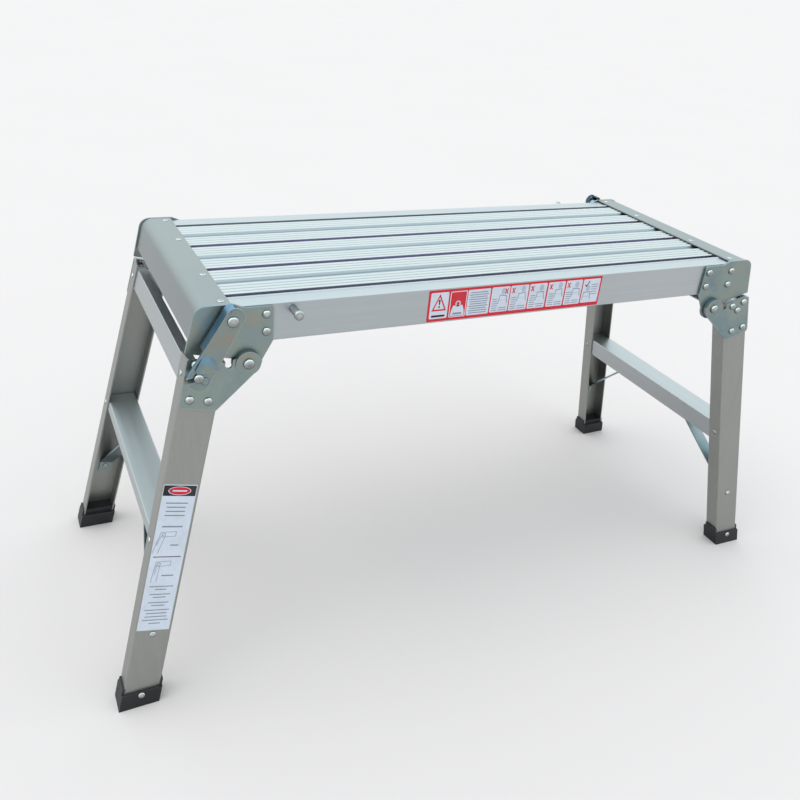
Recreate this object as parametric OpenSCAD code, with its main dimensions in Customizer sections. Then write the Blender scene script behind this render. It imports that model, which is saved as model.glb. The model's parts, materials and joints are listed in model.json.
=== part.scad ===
// Folding work platform: ribbed deck on two leg frames that fold under it.
// Millimetres, +Z up. The origin is on the floor under the middle of the deck,
// X runs along the deck and Y across it.

/* [Deck] */
// Height of the rail tops above the floor
deck_h = 489; // [480:1:520]
// Width of the deck over its rails
deck_w = 300; // [300:1:304]
// Height of a side rail
rail_h = 44; // [42:1:46]
// Half the length of a side rail
rail_reach = 380; // [376:1:381]
// Distance between plank centres
plank_pitch = 81.4; // [80:0.2:82]
// Width of a plank's ribbed top
plank_w = 71.4; // [70:0.2:72]
// Distance from the middle of the deck to the inner edge of an end cap
cap_inner = 353.7; // [350:0.1:356]
// Thickness of the aluminium sheet and extrusion walls
wall = 2; // [1.8:0.1:2.2]

/* [Leg frames] */
// Lean of a leg frame from upright, in degrees
lean = 13.27; // [12.5:0.01:14]
// Sideways splay of a leg within its frame, in degrees
splay = 5.54; // [5:0.01:6]
// Distance from the middle of the deck to a fold pivot
pivot_x = 337.5; // [335:0.5:340]
// Height of a fold pivot
pivot_z = 425; // [423:1:427]
// Distance from the fold pivot to the inner face of a leg
leg_near = 24.1; // [23.5:0.1:25]
// Distance from the fold pivot to the outer face of a leg
leg_far = 66; // [65:0.5:67]
// Width of a leg's flanges
leg_flange = 23.3; // [22:0.1:25]
// Height of a step's tread, measured along the frame below the pivot
step_drop = 219.6; // [200:0.2:240]

/* [Hinges] */
// Thickness of the steel hinge plates
plate_t = 3; // [2.8:0.1:3]
// Radius of the leaf's round pivot lug
lug_r = 14; // [13:0.5:15]
// Radius of the fold pivot's shank
pivot_r = 4; // [3.5:0.1:4.2]
// Fold of the left leg frame, in degrees
fold_left = 107.5; // [105:0.5:108]
// Fold of the right leg frame, which folds second and lies lower, in degrees
fold_right = 98.5; // [97:0.5:99]

/* [Latches] */
// Swing of a latch between its locked and parked places, in degrees
latch_swing = 105; // [103:0.5:105.5]
// Direction of a locked latch arm, in degrees below the deck's outward direction
latch_dir = 59.5; // [59:0.1:60]
// Width of a latch arm
latch_w = 20.6; // [20:0.2:21]
// Distance from the middle of the deck's width to the outer face of a latch arm
latch_y = 172; // [171:0.5:173]

/* [Feet] */
// Height of a foot's front and back walls
foot_h = 22; // [20:1:24]
// Height of a foot's two end walls
foot_end_h = 30; // [28:1:36]
// Thickness of rubber under a leg
sole = 4; // [3:0.5:5]

/* [Hidden] */

$fn = 48;
far = 1000;
half_w = deck_w / 2;
sides = [-1, 1];
front = -1;
rear = 1;
left = -1;
right = 1;

// Heights inside the deck
rail_bottom = deck_h - rail_h;
ledge_top = deck_h - 13;
cap_top = deck_h + 3;
lip_y = half_w - 24;

// Web plane of a leg where it passes the pivot's level
web_y = half_w + 5.4;
slot_low = -2.6;
slot_high = 1;
leaf_bottom = -58;

// Rivet places, on a hinge plate as [x, z] and on a leaf as [across, along]
plate_rivets = [[316.3, 477.9], [316.3, 458], [357.6, 458]];
plain_rivet = [357.6, 477.9];
leaf_rivets = [[35.6, -8.4], [56.2, -8], [35.6, -47.6], [55.8, -47.6]];
leaf_middle_rivet = [45, -17.5];
latch_pin_at = [54.5, -16.4];
cap_rivet_x = 362;
cap_rivet_ys = [-140, -62, 62, 140];

// Latch places in the deck's own plane
latch_pivot = [357.5, 481];
peg_at = [latch_pivot.x - 71.4, latch_pivot.y - 0.5];
latch_bore = 4.06;

// Finger hood on a latch arm, in the arm's own plane
hood_at = [56, 1];
hood_r = 11.2;
hood_drop = 5.2;
hood_side = 9.4;
hood_slit = 1.5;
hood_rise = 3.6;
hood_wall = 1.2;

// Fasteners
rivet_r = 2.4;
rivet_head = 4.8;
rivet_rise = 2.7;
pin_r = 3.5;
pin_neck = 2.4;

// Colours
aluminium = [0.72, 0.75, 0.76];
zinc = [0.58, 0.66, 0.66];
rubber = [0.06, 0.06, 0.07];

// ---- outlines ----

function unit(v) = v / norm(v);

// Arc that rounds corner b, between neighbours a and c, to radius r
function corner_arc(a, b, c, r, steps) =
    let (
        u = unit(a - b),
        v = unit(c - b),
        half = acos(u * v) / 2,
        m = b + unit(u + v) * r / sin(half),
        p = b + u * r / tan(half) - m,
        q = b + v * r / tan(half) - m,
        start = atan2(p.y, p.x),
        turn = atan2(p.x * q.y - p.y * q.x, p * q)
    )
    [for (i = [0:steps]) m + r * [cos(start + turn * i / steps), sin(start + turn * i / steps)]];

// Outline from corners given as [x, y, radius]
function rounded(corners, steps = 6) =
    let (n = len(corners))
    [for (i = [0:n - 1])
        let (
            a = corners[(i + n - 1) % n],
            b = corners[i],
            c = corners[(i + 1) % n]
        )
        each (b[2] == 0
            ? [[b.x, b.y]]
            : corner_arc([a.x, a.y], [b.x, b.y], [c.x, c.y], b[2], steps))];

// Unit normal on the left of the step from a to b
function side_of(a, b) = unit([a.y - b.y, b.x - a.x]);

// Offset of point i of an open path by distance d to its left, mitred at the corners
function shifted(path, i, d) =
    let (
        last = len(path) - 1,
        before = side_of(path[max(i - 1, 0)], path[max(i - 1, 0) + 1]),
        after = side_of(path[min(i, last - 1)], path[min(i, last - 1) + 1])
    )
    path[i] + d * (before + after) / (1 + before * after);

// Outline of a strip that follows an open path, from d1 to d2 at its left
function strip(path, d1, d2) = concat(
    [for (i = [0:len(path) - 1]) shifted(path, i, d1)],
    [for (i = [len(path) - 1:-1:0]) shifted(path, i, d2)]
);

// Place in the deck of a point given across and along a leg frame
function in_deck(p) = [
    pivot_x + p.x * cos(lean) - p.y * sin(lean),
    pivot_z + p.x * sin(lean) + p.y * cos(lean)
];

// A hinge carries a latch at the front left and the rear right corners
function latched(side, row) = side * row == 1;

function turned(v, a) = [v.x * cos(a) - v.y * sin(a), v.x * sin(a) + v.y * cos(a)];

// ---- placing ----

// Mirrors a part made for the right rear corner to another corner
module corner(side, row) {
    mirror([side == left ? 1 : 0, 0, 0])
        mirror([0, row == front ? 1 : 0, 0])
            children();
}

// Leg frame space of the right frame: X across the frame, Z up along it
module frame_space() {
    translate([pivot_x, 0, pivot_z])
        rotate([0, -lean, 0])
            children();
}

// Leg space of the right rear leg: Y is out of the leg's web, Z runs up the leg
module leg_space() {
    frame_space()
        translate([0, web_y, 0])
            rotate([splay, 0, 0])
                children();
}

// Sheet drawn in X and Z, from y0 to y0 + t
module sheet(y0, t) {
    translate([0, y0 + t, 0])
        rotate([90, 0, 0])
            linear_extrude(height = t)
                children();
}

// Cylinder along +Y from y0 to y1 at [x, z]
module rod(at, r, y0, y1) {
    translate([at.x, y0, at.y])
        rotate([-90, 0, 0])
            cylinder(r = r, h = y1 - y0);
}

// Extrusion along Y whose section is drawn in X and Z
module bar(length) {
    sheet(-length / 2, length)
        children();
}

// ---- fasteners ----

// Round-shouldered head on a shank, along +Y; the head sits on y1, and a closed tail ends at y0
module rivet(at, r, head_r, rise, y0, y1, tail = 1.3) {
    closed_end = [
        [0, y0 - tail], [r + tail - 0.3, y0 - tail], [r + tail, y0 + 0.3 - tail], [r + tail, y0]
    ];
    translate([at.x, 0, at.y])
        rotate([-90, 0, 0])
            rotate_extrude()
                polygon(concat(
                    tail > 0 ? closed_end : [[0, y0]],
                    [[r, y0], [r, y1], [head_r, y1]],
                    [for (a = [0:18:90])
                        [head_r * (0.5 + 0.5 * cos(a)), y1 + rise * (0.25 + 0.65 * sin(a))]],
                    [[0, y1 + rise]]
                ));
}

module plain_rivet_on_plate(at) {
    rivet(at, rivet_r, rivet_head, rivet_rise, half_w - wall, half_w + plate_t);
}

module plate_holes(has_latch) {
    for (at = plate_rivets)
        rod(at, rivet_r, half_w - 6, half_w + 6);
    if (has_latch)
        rod(latch_pivot, pivot_r + 0.02, half_w - 6, half_w + 6);
    else
        rod(plain_rivet, rivet_r, half_w - 6, half_w + 6);
}

// ---- deck ----

// Side rail with a beaded top and a ledge for the planks, rear side
module rail_section() {
    polygon(rounded([
        [half_w, rail_bottom, 1.5], [half_w, deck_h, 1.5],
        [lip_y + 4, deck_h, 0], [lip_y + 3.4, deck_h + 0.8, 0.4],
        [lip_y + 1, deck_h + 0.8, 0.4], [lip_y, deck_h, 0],
        [lip_y, ledge_top, 0], [lip_y - 14, ledge_top, 0], [lip_y - 14, ledge_top - wall, 0],
        [lip_y + wall, ledge_top - wall, 0], [lip_y + wall, deck_h - wall, 0],
        [half_w - wall, deck_h - wall, 0], [half_w - wall, rail_bottom + wall, 0],
        [half_w - 18, rail_bottom + wall, 0], [half_w - 18, rail_bottom + 7, 0],
        [half_w - 20, rail_bottom + 7, 0], [half_w - 20, rail_bottom, 0.5]
    ], 3));
}

module side_rail(row) {
    color(aluminium)
        mirror([0, row == front ? 1 : 0, 0])
            difference() {
                translate([-rail_reach, 0, 0])
                    rotate([90, 0, 90])
                        linear_extrude(height = 2 * rail_reach)
                            rail_section();
                for (side = sides)
                    mirror([side == left ? 1 : 0, 0, 0]) {
                        plate_holes(latched(side, row));
                        upright_hole([cap_rivet_x, cap_rivet_ys[3]]);
                        if (latched(side, row))
                            rod(peg_at, pin_r, half_w - 6, half_w + 6);
                    }
            }
}

module upright_hole(at) {
    translate([at.x, at.y, ledge_top + 1])
        cylinder(r = rivet_r, h = 20);
}

// Half of a plank's ribbed top, from its middle groove to its edge
plank_rib = [for (k = [0:3]) each let (y = 9.6 + 7.9 * k) [
    [y - 2.6, deck_h - 0.5], [y - 1.7, deck_h + 0.6], [y + 1.7, deck_h + 0.6], [y + 2.6, deck_h - 0.5]
]];
plank_half = concat(
    [[4.4, deck_h - 2.4], [5.2, deck_h - 0.5]],
    [for (p = plank_rib) if (p.x < plank_w / 2 - 0.4) p],
    [[plank_w / 2, deck_h - 0.2], [plank_w / 2, ledge_top + wall],
     [plank_pitch / 2 - 0.1, ledge_top + wall], [plank_pitch / 2 - 0.1, ledge_top]]
);

// Hollow ribbed plank whose base reaches its neighbours' bases
module plank_section() {
    difference() {
        polygon(concat(
            plank_half,
            [for (i = [len(plank_half) - 1:-1:0]) [-plank_half[i].x, plank_half[i].y]]
        ));
        for (side = sides)
            translate([side * (plank_w / 4 - 0.5) - plank_w / 4 + 2.5, ledge_top + wall])
                square([plank_w / 2 - 5, 13 - 2 * wall - 1.6]);
    }
}

module plank(place) {
    color(aluminium)
        difference() {
            translate([-rail_reach + 12, place * plank_pitch, 0])
                rotate([90, 0, 90])
                    linear_extrude(height = 2 * rail_reach - 24)
                        plank_section();
            for (side = sides, row = sides)
                if (row == place)
                    upright_hole([side * cap_rivet_x, row * cap_rivet_ys[2]]);
        }
}

// Bent sheet over the plank ends; its outer face leans with the legs
module end_cap(side) {
    corner_r = 14;
    face_x = leg_far + 0.2;
    low = in_deck([face_x, 13.4]);
    bend = in_deck([face_x, (cap_top - pivot_z - face_x * sin(lean)) / cos(lean)]);
    inner = in_deck([face_x - wall, 13.4]);
    bend_in = in_deck([
        face_x - wall,
        (cap_top - wall - pivot_z - (face_x - wall) * sin(lean)) / cos(lean)
    ]);
    color(aluminium)
        mirror([side == left ? 1 : 0, 0, 0])
            difference() {
                bar(deck_w)
                    polygon(rounded([
                        [cap_inner, cap_top - wall, 0], [cap_inner, cap_top, 0.8],
                        [bend.x, bend.y, corner_r], [low.x, low.y, 0.6],
                        [inner.x, inner.y, 0], [bend_in.x, bend_in.y, corner_r - wall]
                    ], 10));
                for (y = cap_rivet_ys)
                    translate([cap_rivet_x, y, cap_top - 8])
                        cylinder(r = rivet_r, h = 20);
            }
}

// Channel across the deck under the planks, from rail to rail
module cross_member(x) {
    width = 30;
    depth = 20;
    color(aluminium)
        translate([x, 0, 0])
            difference() {
                union() {
                    translate([-width / 2, 0.1 - half_w + wall, ledge_top - wall - depth])
                        cube([width, deck_w - 2 * wall - 0.2, depth]);
                    translate([-width / 2, 14.5 - lip_y, ledge_top - wall - 1])
                        cube([width, 2 * lip_y - 29, 1 + wall]);
                }
                translate([wall - width / 2, -half_w, ledge_top - 2 * wall - depth])
                    cube([width - 2 * wall, deck_w, depth]);
            }
}

// ---- hinges ----

// Plate on a rail, above the slot, made for the right rear corner
module hinge_plate(side, row) {
    edge_x = leg_far + 2.4;
    slot_out = in_deck([edge_x, slot_high]);
    slot_in = in_deck([28, slot_high]);
    slot_end = in_deck([17, slot_high]);
    top = in_deck([edge_x, (cap_top + 0.3 - pivot_z - edge_x * sin(lean)) / cos(lean)]);
    color(zinc)
        corner(side, row)
            difference() {
                sheet(half_w, plate_t)
                    union() {
                        polygon(rounded([
                            [slot_in.x, slot_in.y, 0], [slot_out.x, slot_out.y, 0.8],
                            [top.x, top.y, 14], [352, cap_top + 0.3, 8],
                            [340, deck_h - 1.7, 8], [308, deck_h - 1.7, 4],
                            [308.3, rail_bottom + 2, 8], [322.8, pivot_z - 4, 4],
                            [pivot_x, pivot_z, 0], [slot_end.x, slot_end.y, 0]
                        ]));
                        translate([pivot_x, pivot_z])
                            circle(r = lug_r + 3);
                    }
                plate_holes(latched(side, row));
                rod([pivot_x, pivot_z], pivot_r + 0.02, half_w - 6, half_w + 6);
            }
}

// Plate on a leg, below the slot, with the round pivot lug
module hinge_leaf(side, row) {
    color(zinc)
        corner(side, row)
            difference() {
                union() {
                    leg_space()
                        sheet(0, plate_t)
                            difference() {
                                polygon(rounded([
                                    [-11.4, -8.1, 0], [leg_near + 0.9, leaf_bottom, 4],
                                    [leg_far, leaf_bottom, 6], [leg_far, slot_low, 2],
                                    [26, slot_low, 0], [10, 5, 0]
                                ]));
                                translate([21, -4.4])
                                    circle(r = 4);
                                translate([17, -4.4])
                                    square([8, 30]);
                            }
                    frame_space()
                        rod([0, 0], lug_r, half_w + 3.3, half_w + 9.9);
                }
                frame_space()
                    rod([0, 0], pivot_r + 0.06, half_w, half_w + 20);
                leaf_holes(latched(side, row));
            }
}

// Holes through a leaf and the web behind it
module leaf_holes(has_latch) {
    leg_space() {
        for (at = leaf_rivets)
            rod(at, rivet_r, -8, 8);
        if (!has_latch)
            rod(leaf_middle_rivet, rivet_r, -8, 8);
    }
    if (has_latch)
        frame_space()
            rod(latch_pin_at, pin_r, half_w - 2, half_w + 20);
}

module hinge_plate_rivets() {
    color(zinc)
        for (side = sides, row = sides)
            corner(side, row) {
                for (at = plate_rivets)
                    plain_rivet_on_plate(at);
                if (!latched(side, row))
                    plain_rivet_on_plate(plain_rivet);
            }
}

// Rivets through the caps into the rails' top walls and the outer planks' tops
module end_cap_rivets() {
    color(zinc)
        for (side = sides, y = cap_rivet_ys)
            translate([side * cap_rivet_x, y, 0])
                rotate([90, 0, 0])
                    rivet([0, 0], rivet_r, 3.6, 1.1, deck_h - (abs(y) > 100 ? wall : 3.7), cap_top);
}

module fold_pivots() {
    color(zinc)
        for (side = sides, row = sides)
            corner(side, row)
                rivet([pivot_x, pivot_z], pivot_r, 6.1, 2.9, half_w, half_w + 10.2);
}

// ---- latches ----

// Turned post that holds a latch arm off its plate
module latch_pivots() {
    shoulder = 6.5;
    color(zinc)
        for (side = sides)
            corner(side, side)
                union() {
                    rod(latch_pivot, shoulder, half_w + plate_t, latch_y - 2.3);
                    rivet(latch_pivot, pivot_r, 6, 2.4, half_w - wall, latch_y + 0.3);
                }
}

// Headed peg on the rail that a parked latch arm rests on
module latch_stow_pegs() {
    color(zinc)
        for (side = sides)
            corner(side, side)
                union() {
                    rod(peg_at, 4.5, half_w, latch_y - 3);
                    rod(peg_at, 5.4, latch_y - 3.5, latch_y - 0.6);
                    rivet(peg_at, pin_r, 5.4, 0.9, half_w - wall, latch_y - 0.7);
                }
}

// Pin on a leaf that the latch arm hooks
module latch_pin(side) {
    color(zinc)
        corner(side, side)
            frame_space()
                union() {
                    rod(latch_pin_at, pin_r, half_w + 3.5, latch_y - 5);
                    rivet(latch_pin_at, pin_neck, 5, 2.2, latch_y - 6, latch_y + 1.6, 0);
                }
}

// Place of a deck point in the arm's own plane: along the arm, then across it
function in_arm(p) = turned(p - latch_pivot, latch_dir);

// Place of the pin in the arm's plane when the frame has folded by a
function pin_in_arm(a, ratio) =
    let (
        home = in_deck(latch_pin_at) - [pivot_x, pivot_z],
        moved = [pivot_x, pivot_z] + turned(home, -a)
    )
    turned(in_arm(moved), ratio * a);

// Face of a latch arm, drawn along +X from its pivot: it widens towards its tip
module latch_face(ratio) {
    edge = latch_w / 2;
    clear = pin_neck + 0.35;
    path = [for (a = [0:3:24]) pin_in_arm(a, ratio)];
    difference() {
        polygon(rounded([
            [-15.4, -edge, 10], [-15.4, edge, 10], [0, edge, 0],
            [78.5, edge + 2.2, 2], [84, 5, 4], [85, -8, 6], [77, -edge - 2.6, 8], [0, -edge, 0]
        ]));
        circle(r = latch_bore);
        polygon(strip(path, clear, -clear));
        translate(path[0])
            circle(r = clear);
        hood_outline(hood_wall, hood_slit);
    }
}

// Outline of the finger hood: a circle with its outer side and its lower side cut straight
module hood_outline(inset = 0, below = 0) {
    intersection() {
        translate(hood_at)
            circle(r = hood_r - inset);
        translate([0, -50])
            square([100, 50 + hood_side - inset]);
        translate(hood_at)
            rotate(latch_dir - 6)
                translate([-50, -hood_drop - below])
                    square([100, 50]);
    }
}

// Ball whose face rises from the arm at the hood's top to its open lower edge
module hood_ball(inset) {
    reach = hood_r + hood_drop;
    ball = (reach * reach + hood_rise * hood_rise) / (2 * hood_rise);
    lip = hood_at + hood_drop * [sin(latch_dir - 6), -cos(latch_dir - 6)];
    translate([lip.x, latch_y - ball + hood_rise, lip.y])
        rotate([-90, 0, 0])
            sphere(r = ball - inset, $fn = 64);
}

// Pressed hood that a finger lifts the arm by, open on its lower edge
module finger_hood() {
    difference() {
        intersection() {
            sheet(latch_y - 1, hood_rise + 2)
                hood_outline();
            hood_ball(0);
        }
        intersection() {
            sheet(latch_y - 3, hood_rise + 4)
                hood_outline(hood_wall, hood_slit);
            hood_ball(hood_wall);
        }
    }
}

module arm_space() {
    translate([latch_pivot.x, 0, latch_pivot.y])
        rotate([0, latch_dir, 0])
            children();
}

// Pressed arm: face plate, a flange round its outer side and a narrow rim beyond the flange
module latch_arm(side, ratio) {
    edge = latch_w / 2;
    flange_end = 42.5;
    rim_end = 73;
    lean_out = 2.2 / 78.5;
    tail = [for (a = [150:-15:90]) [10 * cos(a) - 5.4, edge - 10 + 10 * sin(a)]];
    flange = concat(tail, [[0, edge], [flange_end, edge + lean_out * flange_end]]);
    rim = [for (x = [flange_end - 3, rim_end]) [x, edge + lean_out * x]];
    color(zinc)
        corner(side, side)
            arm_space()
                union() {
                    sheet(latch_y - 2, 2)
                        latch_face(ratio);
                    sheet(half_w + 7, latch_y - half_w - 8)
                        polygon(strip(flange, -0.2, -2.2));
                    sheet(latch_y - 4.5, 3.5)
                        polygon(strip(rim, -0.4, -2.4));
                    // pressed dimple and spring rivet
                    rod([-9.3, 3.7], 3.4, latch_y - 1, latch_y + 0.7);
                    rivet([70.6, -6.5], 2.4, 4.6, 1.6, latch_y - 3.2, latch_y, 0);
                    finger_hood();
                }
}

// Coil spring round a latch post that keeps the arm down on its pin
module latch_spring(side) {
    turns = 4;
    wire = 0.75;
    color(zinc)
        corner(side, side)
            for (i = [0:turns - 1])
                translate([latch_pivot.x, half_w + plate_t + 2.2 + 3 * i, latch_pivot.y])
                    rotate([-90, 0, 0])
                        rotate_extrude()
                            translate([7.35, 0])
                                circle(r = wire, $fn = 16);
}

// ---- leg frames ----

module leg_section() {
    difference() {
        polygon(rounded([
            [leg_near, -leg_flange, 0.6], [leg_far, -leg_flange, 0.6],
            [leg_far, 0, 1.5], [leg_near, 0, 1.5]
        ], 3));
        translate([leg_near + wall, -leg_flange - 1])
            square([leg_far - leg_near - 2 * wall, leg_flange + 1 - wall]);
    }
}

// Places of the rivets through a leg's flanges, as [y, z] in the frame
function flange_y(z) = web_y - tan(splay) * z - 11.5;
crossbar_rivet_z = -24;
step_rivet_z = -step_drop - 6.2;
brace_screw_z = -347;
foot_screw_z = -432.4;

module across_rivet_hole(z) {
    translate([leg_near - 5, flange_y(z), z])
        rotate([0, 90, 0])
            cylinder(r = rivet_r, h = leg_far - leg_near + 10);
}

module outer_rivet_hole(z) {
    translate([leg_far - 6, flange_y(z), z])
        rotate([0, 90, 0])
            cylinder(r = rivet_r, h = 12);
}

module web_screw_hole(z) {
    leg_space()
        rod([(leg_near + leg_far) / 2, z], rivet_r, -6, 8);
}

module below_floor(height) {
    translate([0, 0, height - 60])
        linear_extrude(height = 60)
            square([far * 1.2, far], center = true);
}

module leg(side, row) {
    color(aluminium)
        corner(side, row)
            difference() {
                leg_space()
                    translate([0, 0, -470])
                        linear_extrude(height = 470 + slot_low)
                            leg_section();
                below_floor(sole);
                leaf_holes(latched(side, row));
                frame_space() {
                    outer_rivet_hole(crossbar_rivet_z);
                    across_rivet_hole(step_rivet_z);
                }
                web_screw_hole(brace_screw_z);
                web_screw_hole(foot_screw_z);
            }
}

// Upper channel between the legs, inside their outer flanges
module crossbar(side) {
    height = 28;
    depth = 13.5;
    top = -10.4;
    out = leg_far - wall;
    end_gap = 4;
    color(aluminium)
        corner(side, rear)
            frame_space()
                difference() {
                    bar(2 * (web_y - wall - end_gap))
                        polygon(rounded([
                            [out, top - height, 1], [out, top, 1], [out - depth, top, 0.6],
                            [out - depth, top - wall, 0], [out - wall, top - wall, 0],
                            [out - wall, top - height + wall, 0],
                            [out - depth, top - height + wall, 0], [out - depth, top - height, 0.6]
                        ], 3));
                    for (row = sides)
                        mirror([0, row == front ? 1 : 0, 0])
                            outer_rivet_hole(crossbar_rivet_z);
                }
}

// Step: level tread, deep inner flange and shallow outer lip
module step(side) {
    out = leg_far - wall;
    in = leg_near + wall;
    rise = (out - in) * tan(lean);
    color(aluminium)
        corner(side, rear)
            frame_space()
                difference() {
                    bar(2 * (web_y - wall + tan(splay) * (step_drop - rise)) - 0.8)
                        polygon(rounded([
                            [out, -step_drop - 12.5, 0.8], [out, -step_drop, 1.6],
                            [in, rise - step_drop, 1.6], [in, -step_drop - 23.5, 0.8],
                            [in + wall, -step_drop - 23.5, 0],
                            [in + wall, rise - step_drop - wall - 0.5, 0],
                            [out - wall, -step_drop - wall + 0.4, 0],
                            [out - wall, -step_drop - 12.5, 0]
                        ], 3));
                    for (row = sides)
                        mirror([0, row == front ? 1 : 0, 0])
                            across_rivet_hole(step_rivet_z);
                }
}

// One bent strap under the step, screwed to both legs
module brace(side) {
    width = 18;
    t = 2.5;
    web_in = web_y - wall - 0.05;
    tab_low = brace_screw_z - 7;
    tab_top = brace_screw_z + 9;
    half_path = [
        [web_in - tan(splay) * tab_low, tab_low],
        [web_in - tan(splay) * tab_top, tab_top],
        [60, -step_drop - 5]
    ];
    path = concat(half_path, [for (i = [2:-1:0]) [-half_path[i].x, half_path[i].y]]);
    color(zinc)
        corner(side, rear)
            frame_space()
                difference() {
                    translate([(leg_near + leg_far - width) / 2, 0, 0])
                        rotate([90, 0, 90])
                            linear_extrude(height = width)
                                polygon(strip(path, 0, t));
                    for (row = sides)
                        mirror([0, row == front ? 1 : 0, 0])
                            translate([-pivot_x, 0, 0])
                                brace_hole();
                }
}

module brace_hole() {
    translate([pivot_x, web_y, 0])
        rotate([splay, 0, 0])
            rod([(leg_near + leg_far) / 2, brace_screw_z], rivet_r, -10, 8);
}

// Rivets of one leg frame: leaves, crossbar, step and brace ends
module frame_rivets(side) {
    color(zinc)
        for (row = sides)
            corner(side, row) {
                leg_space() {
                    for (at = leaf_rivets)
                        rivet(at, rivet_r, rivet_head, rivet_rise, -wall, plate_t);
                    if (!latched(side, row))
                        rivet(leaf_middle_rivet, rivet_r, rivet_head, rivet_rise, -wall, plate_t);
                    rivet(
                        [(leg_near + leg_far) / 2, brace_screw_z],
                        rivet_r, 4, 1.8, -wall - 2.6, 0
                    );
                }
                frame_space() {
                    flange_rivet(crossbar_rivet_z, 1);
                    flange_rivet(step_rivet_z, 1);
                    flange_rivet(step_rivet_z, -1);
                }
            }
}

// Rivet through a leg flange; facing is 1 on the outer flange and -1 on the inner one
module flange_rivet(z, facing) {
    middle = (leg_near + leg_far) / 2;
    reach = (leg_far - leg_near) / 2;
    translate([middle, flange_y(z), z])
        rotate([0, 0, -90 * facing])
            rivet([0, 0], rivet_r, 3.4, 1.2, reach - 2 * wall, reach);
}

// ---- feet ----

module above_floor(height) {
    linear_extrude(height = height)
        square([far * 1.2, far], center = true);
}

// Moulded shoe with a slot for the leg's channel, level top edges and a flat sole
module foot(side, row) {
    side_wall = 3.1;
    end_wall = 2.3;
    block_x = leg_near - end_wall;
    block_w = leg_far - leg_near + 2 * end_wall;
    color(rubber)
        corner(side, row)
            difference() {
                union() {
                    intersection() {
                        leg_space()
                            translate([block_x, -leg_flange - side_wall, -480])
                                cube([block_w, leg_flange + 2 * side_wall, 100]);
                        above_floor(foot_h);
                    }
                    intersection() {
                        leg_space()
                            translate([block_x, -leg_flange + 1, -480])
                                cube([block_w, leg_flange - 1, 100]);
                        above_floor(foot_end_h);
                    }
                }
                difference() {
                    leg_space()
                        translate([0, 0, -480])
                            linear_extrude(height = 120)
                                leg_section();
                    below_floor(sole);
                }
                leg_space()
                    rod([(leg_near + leg_far) / 2, foot_screw_z], rivet_r, -12, 8);
            }
}

module foot_screws(side) {
    color(zinc)
        for (row = sides)
            corner(side, row)
                leg_space()
                    rivet(
                        [(leg_near + leg_far) / 2, foot_screw_z],
                        rivet_r, 4, 1.6, -wall - 8, 3.1, 0
                    );
}

// ---- labels ----

module rail_label() {
    color("white")
        translate([-120.5, -half_w - 0.3, rail_bottom + 2])
            cube([252, 0.25, rail_h - 4.5]);
}

module leg_label() {
    color("white")
        corner(left, front)
            leg_space()
                translate([26.6, 0.05, -341.2])
                    cube([38.6, 0.25, 192]);
}

// ---- nodes ----

side_rail(front);  // rail_front
side_rail(rear);  // rail_rear
plank(-1);  // plank_front
plank(0);  // plank_middle
plank(1);  // plank_rear
end_cap(left);  // end_cap_left
end_cap(right);  // end_cap_right
cross_member(-cap_rivet_x + 6);  // cross_member_left
cross_member(0);  // cross_member_middle
cross_member(cap_rivet_x - 6);  // cross_member_right
hinge_plate(left, front);  // hinge_plate_front_left
hinge_plate(right, front);  // hinge_plate_front_right
hinge_plate(left, rear);  // hinge_plate_rear_left
hinge_plate(right, rear);  // hinge_plate_rear_right
hinge_plate_rivets();
end_cap_rivets();
fold_pivots();
latch_pivots();
latch_stow_pegs();
rail_label();

leg(left, front);  // leg_front_left
leg(left, rear);  // leg_rear_left
crossbar(left);  // crossbar_left
step(left);  // step_left
brace(left);  // brace_left
hinge_leaf(left, front);  // hinge_leaf_front_left
hinge_leaf(left, rear);  // hinge_leaf_rear_left
frame_rivets(left);  // frame_rivets_left
foot(left, front);  // foot_front_left
foot(left, rear);  // foot_rear_left
foot_screws(left);  // foot_screws_left
latch_pin(left);  // latch_pin_left
leg_label();

leg(right, front);  // leg_front_right
leg(right, rear);  // leg_rear_right
crossbar(right);  // crossbar_right
step(right);  // step_right
brace(right);  // brace_right
hinge_leaf(right, front);  // hinge_leaf_front_right
hinge_leaf(right, rear);  // hinge_leaf_rear_right
frame_rivets(right);  // frame_rivets_right
foot(right, front);  // foot_front_right
foot(right, rear);  // foot_rear_right
foot_screws(right);  // foot_screws_right
latch_pin(right);  // latch_pin_right

latch_arm(left, latch_swing / fold_left);  // latch_arm_left
latch_arm(right, latch_swing / fold_right);  // latch_arm_right
latch_spring(left);  // latch_spring_left
latch_spring(right);  // latch_spring_right
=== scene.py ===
"""Looks for the folding work platform: materials, edge detail, labels, light and camera."""
import json
import math
import random

import bmesh
import bpy
from mathutils import Matrix, Vector


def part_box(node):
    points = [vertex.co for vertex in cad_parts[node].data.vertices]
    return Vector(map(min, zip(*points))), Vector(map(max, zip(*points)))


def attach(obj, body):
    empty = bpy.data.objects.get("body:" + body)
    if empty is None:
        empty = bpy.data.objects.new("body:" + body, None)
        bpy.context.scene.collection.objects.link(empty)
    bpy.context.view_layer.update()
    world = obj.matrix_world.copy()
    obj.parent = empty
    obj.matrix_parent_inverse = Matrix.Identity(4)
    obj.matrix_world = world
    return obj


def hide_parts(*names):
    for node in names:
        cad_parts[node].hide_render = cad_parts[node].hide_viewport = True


MM = 0.001
# How much a texture is squeezed along each axis; lines run along the axis with the small number
EVENLY = (1.0, 1.0, 1.0)
ALONG_X = (0.012, 1.0, 1.0)
ALONG_Y = (1.0, 0.012, 1.0)
ALONG_Z = (1.0, 1.0, 0.012)
# How far in metres from an exposed edge its wear reaches
EDGE_REACH = 0.0012

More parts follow.
